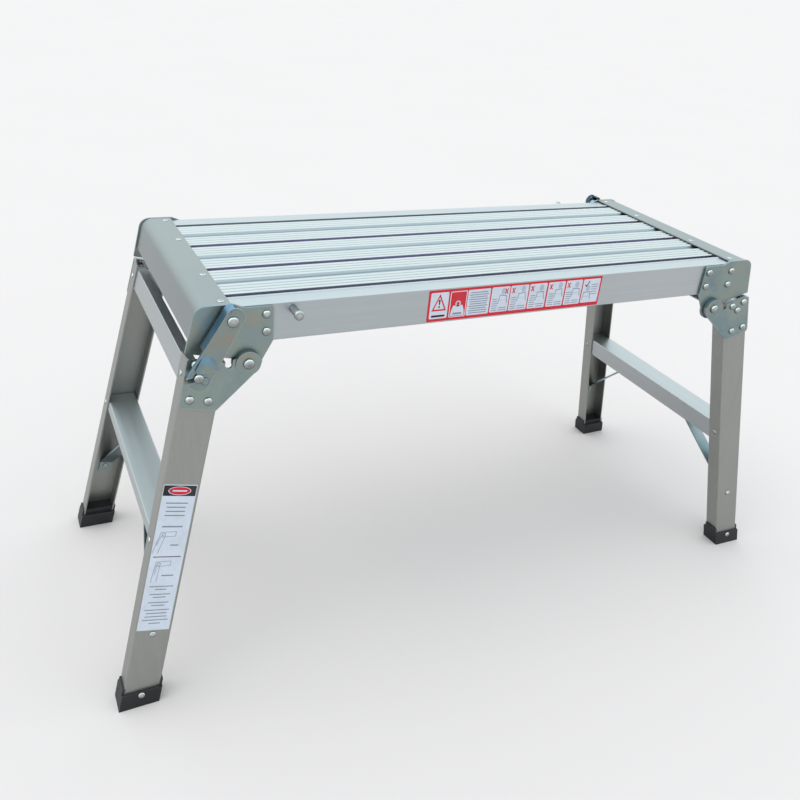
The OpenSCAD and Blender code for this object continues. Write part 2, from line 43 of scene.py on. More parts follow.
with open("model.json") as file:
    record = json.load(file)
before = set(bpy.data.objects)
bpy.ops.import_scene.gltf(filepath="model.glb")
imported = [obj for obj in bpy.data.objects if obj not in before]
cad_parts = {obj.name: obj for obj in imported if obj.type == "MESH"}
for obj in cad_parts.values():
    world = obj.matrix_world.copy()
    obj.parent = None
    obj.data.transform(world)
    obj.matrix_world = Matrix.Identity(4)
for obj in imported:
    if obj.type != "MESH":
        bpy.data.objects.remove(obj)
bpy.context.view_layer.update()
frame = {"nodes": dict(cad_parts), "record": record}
SLOTS = {s["node"]: s["material_slot"] for s in frame["record"]["subparts"]}
BODY_OF = {n: b for b, names in frame["record"]["behaviour"]["bodies"].items() for n in names}


# ---- node helpers ----

class Graph:
    """A material's node tree, with short calls to add and join nodes."""

    def __init__(self, name):
        self.material = bpy.data.materials.new(name)
        self.material.use_nodes = True
        self.tree = self.material.node_tree
        self.shader = self.tree.nodes["Principled BSDF"]
        self.place = self.add("ShaderNodeTexCoord").outputs["Object"]

    def add(self, kind, **settings):
        node = self.tree.nodes.new(kind)
        for key, value in settings.items():
            setattr(node, key, value)
        return node

    def join(self, source, target):
        self.tree.links.new(source, target)

    def set(self, **values):
        """Plain numbers on the shader's own sockets."""
        for key, value in values.items():
            self.shader.inputs[key.replace("_", " ")].default_value = value

    def stretched(self, scale, turn=(0.0, 0.0, 0.0)):
        """The object's own coordinates, scaled along each axis."""
        node = self.add("ShaderNodeMapping")
        node.inputs["Scale"].default_value = scale
        node.inputs["Rotation"].default_value = turn
        self.join(self.place, node.inputs["Vector"])
        return node.outputs["Vector"]

    def noise(self, scale, stretch=EVENLY, detail=4.0, rough=0.6, turn=(0.0, 0.0, 0.0)):
        """Level between 0 and 1 that drifts over the surface, scale times in a metre."""
        node = self.add("ShaderNodeTexNoise")
        node.inputs["Scale"].default_value = scale
        node.inputs["Detail"].default_value = detail
        node.inputs["Roughness"].default_value = rough
        self.join(self.stretched(stretch, turn), node.inputs["Vector"])
        return node.outputs["Fac"]

    def ramp(self, source, *stops):
        """A value between 0 and 1 turned into a colour or a level."""
        node = self.add("ShaderNodeValToRGB")
        elements = node.color_ramp.elements
        while len(elements) < len(stops):
            elements.new(0.5)
        for element, (at, level) in zip(elements, stops):
            colour = level if isinstance(level, tuple) else (level, level, level)
            element.position = at
            element.color = colour + (1.0,)
        self.join(source, node.inputs["Fac"])
        return node.outputs["Color"]

    def mix(self, a, b, factor=0.5, blend="MIX"):
        """Blend of two colours, each a socket or a plain colour."""
        node = self.add("ShaderNodeMix", data_type="RGBA", blend_type=blend)
        for value, index in ((factor, 0), (a, 6), (b, 7)):
            if isinstance(value, bpy.types.NodeSocket):
                self.join(value, node.inputs[index])
            else:
                node.inputs[index].default_value = value if index == 0 else tuple(value) + (1.0,)
        return node.outputs[2]

    def calc(self, operation, a, b=0.0, clamp=False):
        """One sum on two levels or numbers."""
        node = self.add("ShaderNodeMath", operation=operation, use_clamp=clamp)
        for value, socket in zip((a, b), node.inputs):
            if isinstance(value, bpy.types.NodeSocket):
                self.join(value, socket)
            else:
                socket.default_value = value
        return node.outputs[0]

    def bump(self, height, strength, distance):
        """Raises the surface by a level, on top of any bump that is there already."""
        node = self.add("ShaderNodeBump")
        node.inputs["Strength"].default_value = strength
        node.inputs["Distance"].default_value = distance
        self.join(height, node.inputs["Height"])
        if self.shader.inputs["Normal"].is_linked:
            before = self.shader.inputs["Normal"].links[0].from_socket
            self.join(before, node.inputs["Normal"])
        self.join(node.outputs["Normal"], self.shader.inputs["Normal"])

    def facing(self, axis):
        """How squarely a surface faces along one of the object's own axes, from 0 to 1."""
        return self.calc("ABSOLUTE", self.normal(axis))

    def normal(self, axis):
        """One part of the surface's direction in the object's own axes, from -1 to 1."""
        split = self.add("ShaderNodeSeparateXYZ")
        self.join(self.add("ShaderNodeTexCoord").outputs["Normal"], split.inputs[0])
        return split.outputs[axis]

    def painted_crevice_shade(self, colour, reach, depth):
        """Painted shade: darkens a colour in narrow gaps and where pieces meet."""
        shade = self.add("ShaderNodeAmbientOcclusion", samples=6)
        shade.inputs["Distance"].default_value = reach
        level = self.ramp(shade.outputs["AO"], (0.0, 1.0 - depth), (0.85, 1.0))
        return self.mix(colour, level, 1.0, "MULTIPLY")

    def by_height(self, low, high, *stops):
        """Tint that follows the height on the object, between low and high in metres."""
        split = self.add("ShaderNodeSeparateXYZ")
        self.join(self.place, split.inputs[0])
        above = self.calc("SUBTRACT", split.outputs["Z"], low)
        level = self.calc("MULTIPLY", above, 1.0 / (high - low), clamp=True)
        return self.ramp(level, *stops)

    def worn_edges(self):
        """Level that rises on exposed edges, found by looking inwards from the surface."""
        inward = self.add("ShaderNodeAmbientOcclusion", samples=4, inside=True, only_local=True)
        inward.inputs["Distance"].default_value = EDGE_REACH
        return self.ramp(inward.outputs["AO"], (0.35, 1.0), (0.80, 0.0))


def scaled(colour, times):
    """A colour made lighter or darker, up to white."""
    return tuple(min(1.0, c * times) for c in colour)


def metal(name, base, tint, rough, along, reach=0.006, depth=0.45, tint_more=None):
    """Metal with fine lines along one axis, soft patches, light scuffs and worn edges, and painted shade in
    gaps and where pieces meet.

    along is the stretch of the lines: small on the axis they run along."""
    lines, patch, cover, scratch, rough_spread = 900.0, 6.0, 0.35, 0.25, 0.10
    g = Graph(name)
    fine = g.noise(lines, along, detail=3.0, rough=0.7)
    medium = g.noise(lines * 0.16, along, detail=5.0, rough=0.6)
    cloud = g.noise(patch, detail=5.0, rough=0.55)
    streaks = g.mix(g.ramp(fine, (0.3, 0.0), (0.7, 1.0)), g.ramp(medium, (0.3, 0.0), (0.7, 1.0)))
    colour = g.mix(scaled(base, 0.86), base, streaks)
    patches = g.ramp(cloud, (0.38, 0.0), (0.66, 1.0))
    colour = g.mix(colour, tint, g.calc("MULTIPLY", patches, cover))
    scuffs = g.noise(60.0, (1.0, 7.0, 3.0), detail=8.0, rough=0.75, turn=(0.4, 0.9, 0.3))
    marks = g.ramp(scuffs, (0.66, 0.0), (0.72, 1.0))
    colour = g.mix(colour, scaled(base, 1.12), g.calc("MULTIPLY", marks, scratch))
    colour = g.mix(colour, scaled(base, 1.18), g.calc("MULTIPLY", g.worn_edges(), 0.5))
    if tint_more:
        colour = tint_more(g, colour)
    # Painted shade in gaps and where pieces meet
    g.join(g.painted_crevice_shade(colour, reach, depth), g.shader.inputs["Base Color"])
    g.set(Metallic=1.0)
    level = g.calc("ADD", g.calc("MULTIPLY", streaks, rough_spread), rough - rough_spread * 0.5)
    level = g.calc("ADD", level, g.calc("MULTIPLY", cloud, 0.08))
    g.join(level, g.shader.inputs["Roughness"])
    g.bump(fine, 0.10, 0.0002)
    g.bump(medium, 0.12, 0.0004)
    return g.material


def deck_grooves(g, colour):
    """Darker towards the floors between the deck's ribs and lighter on the rib tops, violet gaps between the
    planks, and painted shade on the plank edges beside the gaps.
    """
    groove_depth, shoulder_width, gap_start = 0.0045, 0.0046, 0.43
    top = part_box("plank_middle")[1].z
    pitch = (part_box("plank_rear")[1].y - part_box("plank_front")[1].y) / 2
    # Darker towards the groove floors and lighter on the rib tops, by height
    levels = g.by_height(
        top - groove_depth, top,
        (0.20, (0.66, 0.68, 0.76)), (0.36, (0.74, 0.82, 0.90)), (0.62, (0.70, 0.78, 0.84)),
        (0.76, (0.80, 0.82, 0.82)), (0.97, (1.12, 1.13, 1.13))
    )
    colour = g.mix(colour, levels, 1.0, "MULTIPLY")
    split = g.add("ShaderNodeSeparateXYZ")
    g.join(g.place, split.inputs[0])
    from_middle = g.calc("PINGPONG", split.outputs["Y"], pitch / 2)
    in_gap = g.calc("GREATER_THAN", from_middle, pitch * gap_start)
    wall = g.ramp(g.facing("Y"), (0.86, 0.0), (0.90, 1.0))
    colour = g.mix(colour, (0.62, 0.59, 0.74), g.calc("MULTIPLY", in_gap, wall))
    # Painted shade: a dark violet band on the plank edges beside each gap
    shoulder_shade = g.calc("GREATER_THAN", from_middle, pitch / 2 - shoulder_width)
    return g.mix(colour, (0.20, 0.19, 0.26), g.calc("MULTIPLY", shoulder_shade, 0.85))


def zinc(name, shade, blue):
    """Bright zinc plating: cool tint that drifts, faint spangle and fine scratches.

    Bent flanges and edges get a painted blue reflection of the sky."""
    g = Graph(name)
    cloud = g.noise(14.0, detail=6.0, rough=0.6)
    drift = g.noise(32.0, (1.0, 1.0, 1.7), detail=3.0, rough=0.5)
    colour = g.ramp(
        cloud, (0.34, (0.190, 0.265, 0.290)), (0.50, (0.270, 0.325, 0.300)), (0.66, (0.235, 0.305, 0.320))
    )
    warm = g.ramp(drift, (0.50, 0.0), (0.66, 1.0))
    colour = g.mix(colour, (0.32, 0.30, 0.25), g.calc("MULTIPLY", warm, 0.7))
    spangle = g.add("ShaderNodeTexVoronoi", feature="F1")
    spangle.inputs["Scale"].default_value = 420.0
    g.join(g.stretched(EVENLY), spangle.inputs["Vector"])
    grain = g.ramp(spangle.outputs["Distance"], (0.0, 0.9), (0.9, 1.0))
    colour = g.mix(colour, grain, 0.5, "MULTIPLY")
    colour = g.mix(colour, (0.62, 0.68, 0.68), g.calc("MULTIPLY", g.worn_edges(), 0.6))
    scuffs = g.noise(90.0, (1.0, 9.0, 2.0), detail=8.0, rough=0.8, turn=(0.3, 0.7, 0.5))
    scratches = g.ramp(scuffs, (0.66, 0.0), (0.70, 1.0))
    colour = g.mix(colour, (0.52, 0.58, 0.58), g.calc("MULTIPLY", scratches, 0.35))
    # Painted reflection: blue painted on the bent flanges and edges, which don't face along Y; blue sets its
    # strength
    painted_reflection_mask = g.calc("MULTIPLY", g.ramp(g.facing("Y"), (0.93, 1.0), (0.995, 0.0)), blue)
    painted_blue_reflection = g.ramp(
        drift, (0.35, (0.08, 0.19, 0.30)), (0.60, (0.13, 0.27, 0.42)), (0.80, (0.21, 0.37, 0.51))
    )
    colour = g.mix(colour, painted_blue_reflection, painted_reflection_mask)
    # Overall darkening by the shade level; the latch arm's lower level is painted shade that makes it a
    # darker copy of the sheet's zinc
    colour = g.mix(colour, (shade, shade, shade), 1.0, "MULTIPLY")
    # Painted shade in gaps and where pieces meet
    colour = g.painted_crevice_shade(colour, 0.007, 0.6)
    g.join(colour, g.shader.inputs["Base Color"])
    g.set(Metallic=1.0)
    level = g.calc("ADD", g.calc("MULTIPLY", cloud, 0.16), 0.28)
    g.join(g.calc("ADD", level, g.calc("MULTIPLY", scratches, 0.12)), g.shader.inputs["Roughness"])
    g.bump(cloud, 0.05, 0.0004)
    g.bump(spangle.outputs["Distance"], 0.05, 0.0001)
    return g.material


def turned(name):
    """Zinc plated turned and pressed fasteners, with painted light where they face up and painted shade where
    they face down.
    """
    g = Graph(name)
    cloud = g.noise(120.0, detail=5.0, rough=0.65)
    colour = g.ramp(cloud, (0.32, (0.30, 0.34, 0.36)), (0.52, (0.38, 0.41, 0.40)), (0.72, (0.42, 0.43, 0.39)))
    colour = g.mix(colour, (0.88, 0.90, 0.90), g.calc("MULTIPLY", g.worn_edges(), 0.4))
    # Painted light and shade: brightest where the surface tilts upward, a little less where it faces straight
    # up, darkest where it faces down
    level = g.calc("ADD", g.calc("MULTIPLY", g.normal("Z"), 0.5), 0.5)
    painted_top_light = g.ramp(
        level, (0.18, (0.38, 0.37, 0.36)), (0.49, (0.82, 0.82, 0.82)), (0.66, (1.60, 1.63, 1.65)),
        (0.82, (1.45, 1.48, 1.50)), (0.97, (0.80, 0.83, 0.85))
    )
    colour = g.mix(colour, painted_top_light, 1.0, "MULTIPLY")
    # Painted shade in gaps and where pieces meet
    colour = g.painted_crevice_shade(colour, 0.003, 0.5)
    g.join(colour, g.shader.inputs["Base Color"])
    g.set(Metallic=1.0)
    g.join(g.calc("ADD", g.calc("MULTIPLY", cloud, 0.22), 0.10), g.shader.inputs["Roughness"])
    g.bump(g.noise(900.0, detail=3.0), 0.08, 0.0001)
    return g.material


def rubber(name):
    """Black moulded rubber with a fine mould texture, dusty edges and a soft sheen."""
    g = Graph(name)
    grain = g.noise(1400.0, detail=3.0, rough=0.6)
    cloud = g.noise(45.0, detail=6.0, rough=0.65)
    colour = g.ramp(cloud, (0.35, (0.007, 0.007, 0.008)), (0.70, (0.016, 0.016, 0.018)))
    colour = g.mix(colour, (0.11, 0.11, 0.11), g.calc("MULTIPLY", g.worn_edges(), 0.5))
    g.join(colour, g.shader.inputs["Base Color"])
    g.join(g.calc("ADD", g.calc("MULTIPLY", cloud, 0.25), 0.42), g.shader.inputs["Roughness"])
    g.set(Specular_IOR_Level=0.35)
    g.bump(grain, 0.30, 0.0002)
    g.bump(cloud, 0.15, 0.0005)
    return g.material


def rail(name):
    return metal(name, (0.47, 0.50, 0.515), (0.40, 0.45, 0.48), 0.36, ALONG_X)


def plank(name):
    return metal(
        name, (0.495, 0.515, 0.515), (0.45, 0.475, 0.485), 0.30, ALONG_X,
        reach=0.003, depth=0.30, tint_more=deck_grooves
    )


def leg(name):
    return metal(name, (0.335, 0.342, 0.322), (0.29, 0.305, 0.295), 0.42, ALONG_Z, depth=0.2)


def bar(name):
    return metal(name, (0.45, 0.475, 0.485), (0.38, 0.42, 0.44), 0.40, ALONG_Y)


def cap(name):
    return metal(name, (0.295, 0.32, 0.322), (0.25, 0.28, 0.29), 0.40, ALONG_Y)


# The latch arm's zinc: a darker copy of the sheet's, painted shade for an arm that stands clear of the plates
# and catches more light, with a stronger painted blue reflection
def plated_arm(name):
    return zinc(name, shade=0.90, blue=0.85)


def plated_sheet(name):
    return zinc(name, shade=0.97, blue=0.28)


# How the names of a finish's nodes start, the material's name, and what makes it
FINISHES = (
    (("rail_front", "rail_rear"), "extruded_rail", rail),
    (("plank",), "extruded_plank", plank),
    (("leg_front", "leg_rear"), "extruded_leg", leg),
    (("crossbar", "cross_member", "step"), "extruded_bar", bar),
    (("end_cap_left", "end_cap_right"), "sheet_cap", cap),
    (("latch_arm",), "zinc_latch", plated_arm),
    (("hinge_plate_front", "hinge_plate_rear", "hinge_leaf", "brace"), "zinc_sheet", plated_sheet),
    (("foot_front", "foot_rear"), "moulded_rubber", rubber),
    (("",), "turned_zinc", turned),
)
made = {}


def material_for(node):
    """The material of a CAD node, made once for each kind of finish."""
    name, make = next((name, make) for starts, name, make in FINISHES if node.startswith(starts))
    if name not in made:
        made[name] = make(name)
    return made[name]


# ---- pieces from CAD nodes ----

SHARP = math.radians(32)
# Corners closer than this are one corner, and faces that bend less than this are one face
WELD = 2e-6
FLAT = math.radians(0.6)


def clean_mesh(node, name):
    """Copy of a CAD node's mesh with welded corners and whole flat faces."""
    source = frame["nodes"][node].data
    bm = bmesh.new()
    bm.from_mesh(source)
    bmesh.ops.remove_doubles(bm, verts=bm.verts, dist=WELD)
    bmesh.ops.dissolve_limit(
        bm, angle_limit=FLAT, verts=bm.verts, edges=bm.edges, use_dissolve_boundaries=False
    )
    mesh = bpy.data.meshes.new(name)
    for face in bm.faces:
        face.smooth = True
    bm.to_mesh(mesh)
    bm.free()
    return mesh


def edged(obj, width, flat=True):
    """Rounds the sharp edges, and where flat is true keeps the flat faces flat."""
    bevel = obj.modifiers.new("Edges", "BEVEL")
    bevel.width = width
    bevel.segments = 2
    bevel.limit_method = "ANGLE"
    bevel.angle_limit = SHARP
    bevel.use_clamp_overlap = True
    if not flat:
        return
    weigh = obj.modifiers.new("Flat faces", "WEIGHTED_NORMAL")
    weigh.mode = "FACE_AREA"
    weigh.weight = 100
    weigh.keep_sharp = True


def add_piece(name, mesh, body, material):
    """Object that rides on a body; a mesh that has materials already keeps them."""
    obj = bpy.data.objects.new(name, mesh)
    bpy.context.collection.objects.link(obj)
    if not mesh.materials:
        mesh.materials.append(material)
    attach(obj, body)
    return obj


# Width of the rounded edges in millimetres, by how a node's name starts
BEVELS = (
    ("rail", 0.25), ("plank", 0.2), ("end_cap_", 0.35), ("cross", 0.4), ("hinge", 0.35), ("leg", 0.4),
    ("step", 0.4), ("brace", 0.5), ("latch_arm", 0.4), ("latch", 0.3), ("fold", 0.35), ("foot_s", 0.2),
    ("foot", 1.0), ("", 0.25)
)
REPLACED = ("rail_label", "leg_label", "latch_spring_left", "latch_spring_right")

for node in frame["nodes"]:
    if node in REPLACED:
        continue
    width = next(value for start, value in BEVELS if node.startswith(start))
    mesh = clean_mesh(node, node)
    piece = add_piece(node + "_detail", mesh, BODY_OF[node], material_for(node))
    edged(piece, width * MM, flat=SLOTS[node] != "fasteners")
    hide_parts(node)


# ---- thin printed labels ----

class Sticker:
    """Flat printed shapes stacked on a label; u runs right and v runs up, in millimetres."""

    def __init__(self, origin, along_u, along_v):
        self.bm = bmesh.new()
        self.origin = Vector(origin) * MM
        self.u = Vector(along_u).normalized()
        self.v = Vector(along_v).normalized()
        self.out = self.u.cross(self.v)

    def prism(self, points, low, high, paint):
        """Closed prism from low to high above the surface it is stuck to."""
        def place(p, h):
            return self.origin + (self.u * p[0] + self.v * p[1] + self.out * h) * MM
        bottom = [self.bm.verts.new(place(p, low)) for p in points]
        top = [self.bm.verts.new(place(p, high)) for p in points]
        faces = [self.bm.faces.new(top), self.bm.faces.new(bottom[::-1])]
        n = len(points)
        for i in range(n):
            j = (i + 1) % n
            faces.append(self.bm.faces.new((bottom[i], bottom[j], top[j], top[i])))
        for face in faces:
            face.material_index = paint

    def ring(self, outer, inner, low, high, paint):
        """Closed band between two outlines with the same number of points."""
        n = len(outer)
        for i in range(n):
            j = (i + 1) % n
            self.prism([outer[i], outer[j], inner[j], inner[i]], low, high, paint)

    def panel(self, u0, v0, u1, v1, paint, level, corner=1.0):
        self.prism(round_rect(u0, v0, u1, v1, corner), *level, paint)

    def stroke(self, a, b, width, paint, level):
        a, b = Vector(a), Vector(b)
        side = Vector((a.y - b.y, b.x - a.x)).normalized() * width / 2
        self.prism([a - side, b - side, b + side, a + side], *level, paint)

    def rows(self, u0, u1, heights, paint, level, seed, thick=0.9):
        """Plain printed bars of uneven length, in place of writing."""
        dice = random.Random(seed)
        for v in heights:
            inset = dice.uniform(0.0, 0.12) * (u1 - u0)
            self.panel(u0 + inset, v - thick / 2, u1 - inset, v + thick / 2, paint, level, thick * 0.3)

    def finish(self, name, body, materials):
        mesh = bpy.data.meshes.new(name)
        self.bm.normal_update()
        self.bm.to_mesh(mesh)
        self.bm.free()
        for material in materials:
            mesh.materials.append(material)
        return add_piece(name, mesh, body, materials[0])


def round_rect(u0, v0, u1, v1, r, steps=3):
    """Outline of a rectangle with rounded corners."""
    points = []
    corners = ((u1 - r, v0 + r, -90), (u1 - r, v1 - r, 0), (u0 + r, v1 - r, 90), (u0 + r, v0 + r, 180))
    for cu, cv, start in corners:
        for i in range(steps + 1):
            a = math.radians(start + 90 * i / steps)
            points.append((cu + r * math.cos(a), cv + r * math.sin(a)))
    return points


def oval(cu, cv, ru, rv, steps=28):
    """Outline of an oval about (cu, cv)."""
    turns = [2 * math.pi * i / steps for i in range(steps)]
    return [(cu + ru * math.cos(a), cv + rv * math.sin(a)) for a in turns]


def ink(name, base):
    """Printed vinyl: slightly uneven ink with a thin clear film and faint dirt."""
    rough = 0.44
    g = Graph(name)
    cloud = g.noise(70.0, detail=6.0, rough=0.6)
    worn = tuple(c * 0.86 + 0.02 for c in base)
    colour = g.mix(worn, base, g.ramp(cloud, (0.3, 0.0), (0.6, 1.0)))
    g.join(colour, g.shader.inputs["Base Color"])
    g.join(g.calc("ADD", g.calc("MULTIPLY", cloud, 0.12), rough), g.shader.inputs["Roughness"])
    g.set(Specular_IOR_Level=0.25)
    g.bump(g.noise(500.0, detail=3.0), 0.05, 0.0001)
    return g.material


PRINT = [
    ink("ink_white", (0.52, 0.555, 0.63)),
    ink("ink_red", (0.52, 0.010, 0.026)),
    ink("ink_black", (0.012, 0.011, 0.016)),
    ink("ink_grey", (0.20, 0.22, 0.28)),
    ink("ink_pale", (0.36, 0.39, 0.47)),
    ink("ink_purple", (0.10, 0.05, 0.12)),
]
WHITE, RED, BLACK, GREY, PALE, PURPLE = range(6)
# Bottom and top of each printed layer, in millimetres above the label's base
BASE, FIRST, SECOND, THIRD = (0.0, 0.12), (0.10, 0.16), (0.14, 0.20), (0.18, 0.24)


def triangle(cu, cv, size):
    """Outline of an upright triangle about (cu, cv)."""
    return [(cu - size, cv - size * 0.9), (cu + size, cv - size * 0.9), (cu, cv + size * 1.3)]


def warning_panel(s):
    """Triangle with a plain mark in it, over a bar."""
    s.panel(-117.6, 450.4, -93.6, 483.4, WHITE, FIRST, 1.6)
    s.ring(triangle(-105.4, 469.0, 9.8), triangle(-105.4, 468.5, 7.0), *SECOND, RED)
    s.prism([(-106.0, 467.6), (-104.8, 467.6), (-104.2, 474.4), (-106.6, 474.4)], *SECOND, BLACK)
    s.prism(oval(-105.4, 465.2, 1.2, 1.2, 12), *SECOND, BLACK)
    s.panel(-114.8, 452.4, -96.4, 455.0, BLACK, SECOND, 0.8)


def weight_panel(s):
    """Plain weight with a ring on top, in a white frame."""
    outer = round_rect(-91.3, 450.3, -68.4, 483.3, 1.6)
    inner = round_rect(-90.2, 451.4, -69.5, 482.2, 1.0)
    s.ring(outer, inner, *FIRST, WHITE)
    s.prism(
        [(-89.4, 452.2), (-70.3, 452.2), (-71.2, 458.5), (-73.4, 465.2), (-86.3, 465.2), (-88.5, 458.5)],
        *FIRST, WHITE
    )
    s.ring(oval(-79.9, 467.4, 3.6, 3.8, 18), oval(-79.9, 467.4, 2.1, 2.3, 18), *FIRST, WHITE)
    s.panel(-86.0, 453.6, -73.8, 456.0, GREY, SECOND, 0.6)


def cross_mark(s, cu, cv, size):
    s.stroke((cu - size * 0.6, cv - size), (cu + size * 0.6, cv + size), 1.4, RED, SECOND)
    s.stroke((cu - size * 0.6, cv + size), (cu + size * 0.6, cv - size), 1.4, RED, THIRD)


def bench_figure(s, cu, cv, lean):
    """Generic bench with a blob of a load on it."""
    top = cv + 4.0
    tilt = math.tan(math.radians(lean))
    s.stroke((cu - 5.5, top - 5.5 * tilt), (cu + 5.5, top + 5.5 * tilt), 1.1, GREY, SECOND)
    s.stroke((cu - 4.6, top - 0.8), (cu - 6.4, cv - 6.5), 0.9, GREY, SECOND)
    s.stroke((cu + 4.6, top - 0.8), (cu + 6.4, cv - 6.5), 0.9, GREY, SECOND)
    s.stroke((cu - 5.6, cv - 2.0), (cu + 5.6, cv - 2.0), 0.6, PALE, SECOND)
    s.prism(oval(cu + 0.8 + lean * 0.1, top + 5.4, 3.2, 4.2, 16), *SECOND, PALE)


def advice_panel(s, u0, u1, index):
    """Panel with a cross, a generic bench and plain bars."""
    s.panel(u0, 451.2, u1, 483.8, WHITE, FIRST, 1.4)
    mark = u0 + (4.4 if index else u1 - u0 - 4.2)
    cross_mark(s, mark, 477.6, 3.4)
    middle = (u0 + u1) / 2 + 4.2
    bench_figure(s, middle, 468.4 + (index % 2), (-9, 6, 0, 8, -5)[index])
    s.rows(u0 + 1.6, u0 + 10.6, [453.6 + 2.9 * k for k in range(6)], GREY, SECOND, 40 + index, 1.0)
    s.rows(u0 + 11.4, u1 - 1.6, [453.6, 456.5], GREY, SECOND, 60 + index, 1.0)


def make_rail_label():
    low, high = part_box("rail_label")
    face = low.y / MM + 0.28
    s = Sticker((0.0, face, 0.0), (1, 0, 0), (0, 0, 1))
    s.panel(low.x / MM, low.z / MM, high.x / MM, high.z / MM, RED, BASE, 1.2)
    warning_panel(s)
    weight_panel(s)
    s.panel(-67.4, 450.6, -36.2, 483.4, WHITE, FIRST, 1.6)
    s.rows(-65.4, -38.2, [453.4 + 2.9 * k for k in range(10)], GREY, SECOND, 7, 1.2)
    edges = ((-34.4, -8.7), (-7.4, 18.8), (20.4, 46.2), (48.4, 73.8), (75.8, 100.8))
    for index, (u0, u1) in enumerate(edges):
        advice_panel(s, u0, u1, index)
    s.panel(102.6, 451.6, 129.2, 483.6, WHITE, FIRST, 1.4)
    s.stroke((106.0, 476.6), (108.0, 473.6), 1.2, BLACK, SECOND)
    s.stroke((108.0, 473.6), (112.6, 481.0), 1.2, BLACK, THIRD)
    s.rows(115.0, 127.0, [463.0 + 3.2 * k for k in range(5)], GREY, SECOND, 11, 0.9)
    bench_figure(s, 110.5, 462.0, 0)
    label = s.finish("rail_label_print", "deck", PRINT)
    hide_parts("rail_label")


# The legs' lean and splay in radians, the right fold pivot, and the leg's outer face in millimetres
LEAN, SPLAY = math.radians(13.27), math.radians(5.54)
PIVOT = Vector((337.5, 0.0, 425.0))
WEB_Y = 155.4


def leg_point(across, out, along):
    """Place on the front left leg, in millimetres, from its own axes."""
    y = WEB_Y + out * math.cos(SPLAY) - along * math.sin(SPLAY)
    z = out * math.sin(SPLAY) + along * math.cos(SPLAY)
    x = across * math.cos(LEAN) - z * math.sin(LEAN)
    return Vector((-(PIVOT.x + x), -y, PIVOT.z + across * math.sin(LEAN) + z * math.cos(LEAN)))


def hinge_sketch(s, cu, cv, opened):
    """Generic outline of a rail and a leg joined at a hinge."""
    rail_lines = (((-9, 5), (8, 6)), ((-8, -1), (8, 0)), ((8, 6), (8, 0)))
    leg_lines = (((-9, 5), (-15, -22)), ((-4, -1), (-9, -22)))
    for a, b in rail_lines + leg_lines:
        shift = opened if b[1] < -10 else 0.0
        s.stroke((cu + a[0], cv + a[1]), (cu + b[0] + shift, cv + b[1]), 0.55, GREY, SECOND)
    s.ring(oval(cu - 5.5, cv + 2.2, 2.2, 2.2, 14), oval(cu - 5.5, cv + 2.2, 1.5, 1.5, 14), *SECOND, GREY)
    s.stroke((cu - 8, cv + 1), (cu - 12 + opened, cv - 12), 1.3, PALE, SECOND)


def make_leg_label():
    origin = leg_point(0.0, 0.05, 0.0)
    # u runs inboard from the leg's outer edge, v runs up the leg
    s = Sticker(origin, leg_point(-1, 0.05, 0) - origin, leg_point(0, 0.05, 1) - origin)
    s.panel(-64.8, -340.9, -27.2, -149.3, WHITE, BASE, 0.6)
    s.panel(-64.2, -163.4, -27.9, -150.4, BLACK, FIRST, 0.3)
    s.prism(oval(-46.2, -157.0, 12.8, 5.4), *SECOND, WHITE)
    s.prism(oval(-46.2, -157.0, 12.0, 4.7), *THIRD, RED)
    s.panel(-54.4, -157.9, -38.0, -156.1, WHITE, (0.2, 0.27), 0.8)
    s.rows(-59.5, -33.8, (-172.4, -177.6, -182.8, -188.0), GREY, FIRST, 21, 1.5)
    s.rows(-62.0, -31.6, (-202.2,), GREY, FIRST, 22, 1.9)
    hinge_sketch(s, -49.0, -214.5, 0.0)
    s.rows(-46.6, -34.6, (-226.2,), GREY, FIRST, 23, 1.7)
    s.panel(-61.8, -242.0, -30.3, -240.8, PURPLE, FIRST, 0.3)
    hinge_sketch(s, -48.5, -253.0, 4.0)
    s.rows(-50.0, -33.4, (-266.2,), GREY, FIRST, 24, 1.7)
    s.rows(-61.0, -31.0, (-280.8, -291.4, -302.6, -312.8, -317.4, -322.0, -326.6), GREY, FIRST, 25, 1.3)
    s.rows(-54.0, -38.0, (-284.8, -295.4, -306.6, -331.2), GREY, FIRST, 26, 1.3)
    label = s.finish("leg_label_print", "left_frame", PRINT)
    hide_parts("leg_label")


make_rail_label()
make_leg_label()


# ---- springs ----

# Middle of the right latch post, and how far from the deck's middle its spring starts and ends
POST_X, POST_Z = 357.5, 481.0
SPRING_START, SPRING_END = 156.0, 167.6


